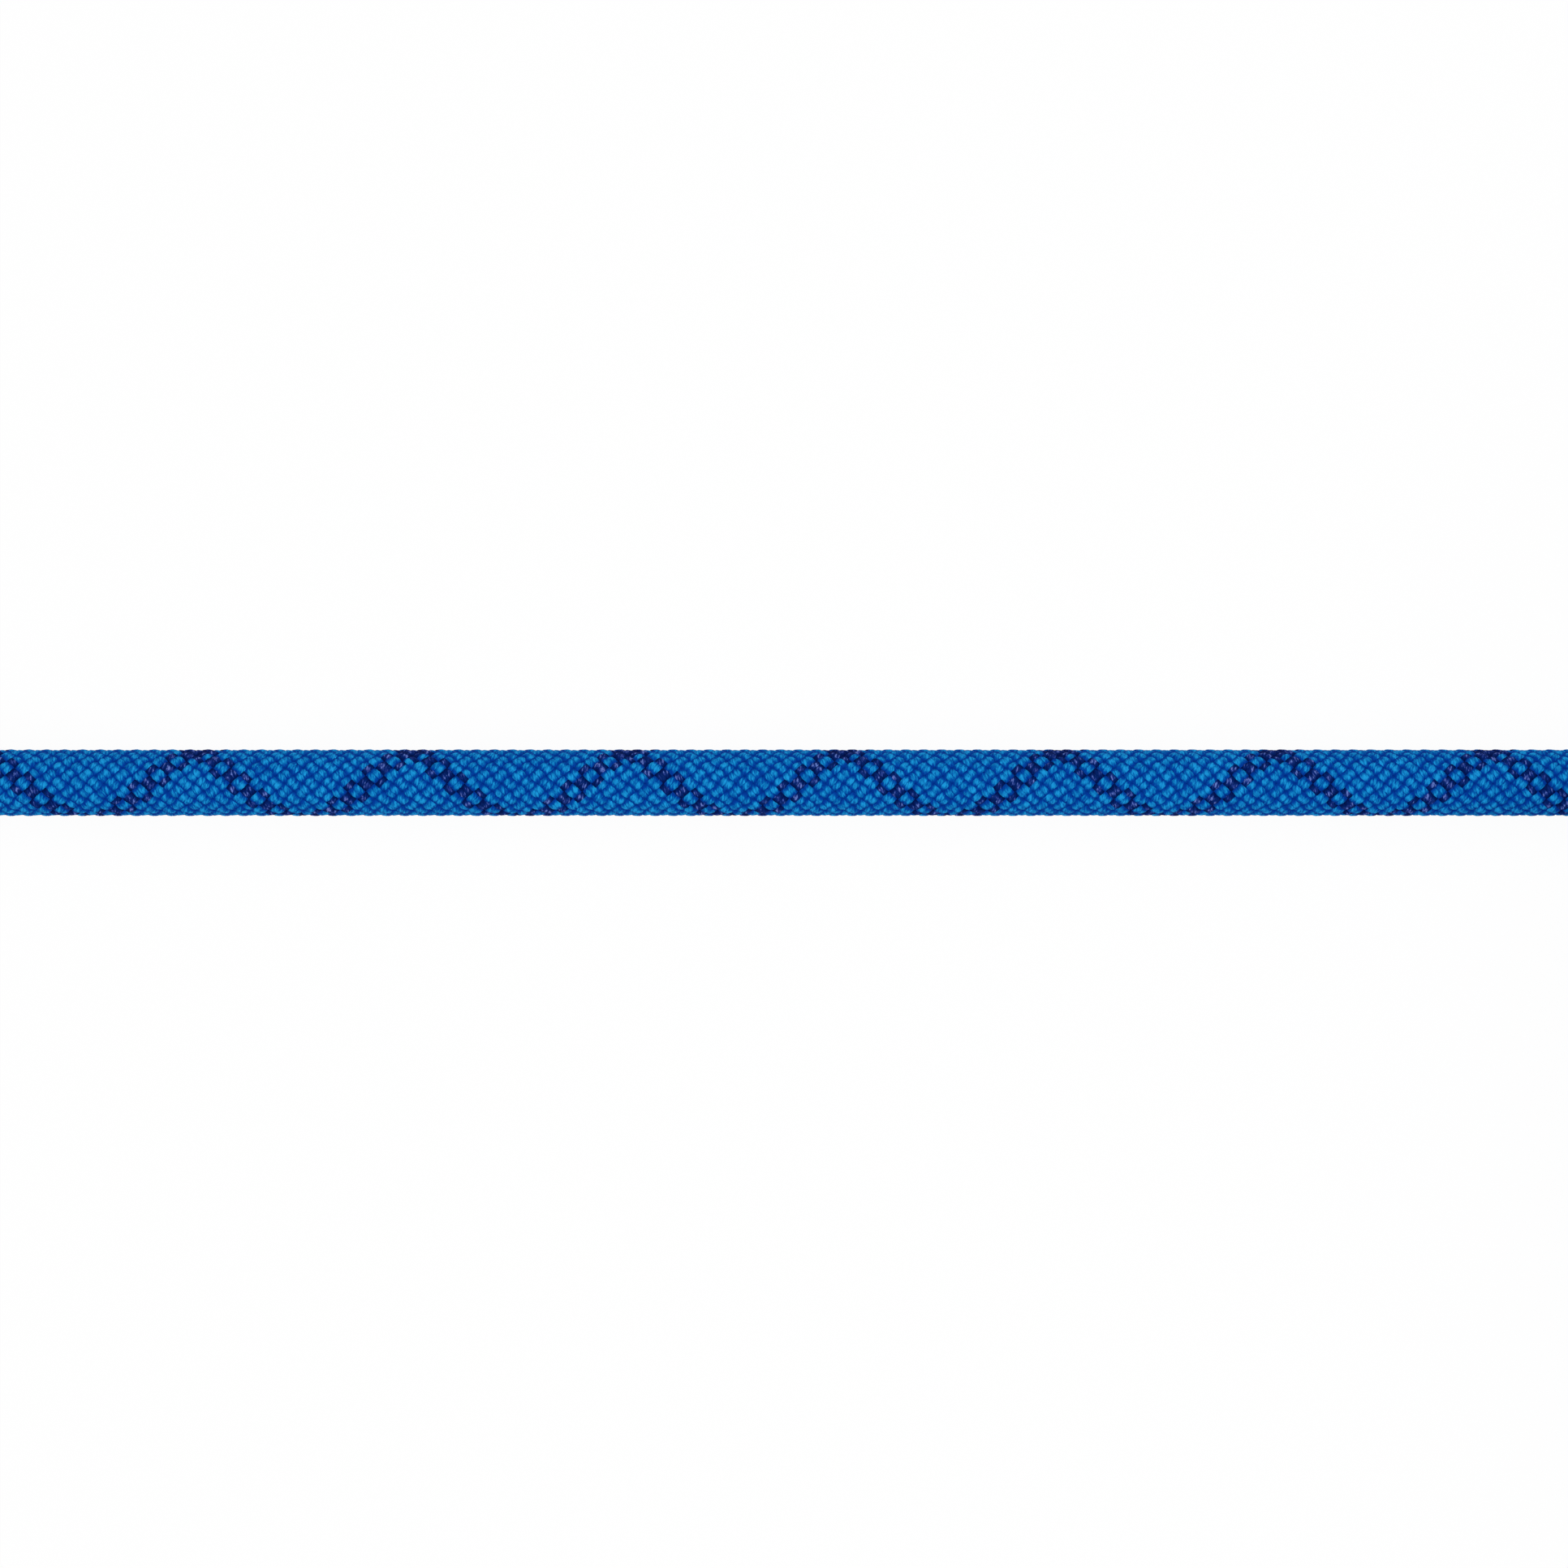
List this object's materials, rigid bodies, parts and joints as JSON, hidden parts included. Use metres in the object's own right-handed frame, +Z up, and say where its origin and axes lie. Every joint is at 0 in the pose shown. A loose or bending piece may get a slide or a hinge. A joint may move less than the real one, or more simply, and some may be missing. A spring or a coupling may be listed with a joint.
{
  "type": "climbing rope",
  "caption": "Dynamic kernmantle climbing rope with a braided blue sheath: one straight stretch, and the rest of its length folded into a tied hank in line with it.",
  "frame": {"origin": "middle of the whole rope, on the surface it lies on", "axes": "+X along the straight stretch, from its free end towards the hank; +Z up"},
  "size_m": [0.608, 0.1042, 0.104],
  "materials": {
    "sheath_yarn": "satin",
    "core_yarn": "satin",
    "tape_film": "matte",
    "sleeve_plastic": "satin",
    "melted_nylon": "satin",
    "tie_webbing": "matte"
  },
  "bodies": {
    "root": {"sheath": "sheath_yarn", "core_strand_inner_1": "core_yarn", "core_strand_inner_2": "core_yarn", "core_strand_inner_3": "core_yarn", "core_strand_outer_1": "core_yarn", "core_strand_outer_2": "core_yarn", "core_strand_outer_3": "core_yarn", "core_strand_outer_4": "core_yarn", "core_strand_outer_5": "core_yarn", "core_strand_outer_6": "core_yarn", "core_strand_outer_7": "core_yarn", "core_strand_outer_8": "core_yarn", "core_strand_outer_9": "core_yarn", "marker_tape": "tape_film", "end_sleeve_left": "sleeve_plastic", "end_sleeve_right": "sleeve_plastic", "sealed_tip_left": "melted_nylon", "sealed_tip_right": "melted_nylon", "hank_outer_turns": "sheath_yarn", "hank_inner_turns": "sheath_yarn", "tie_band": "tie_webbing"}
  },
  "joints": []
}
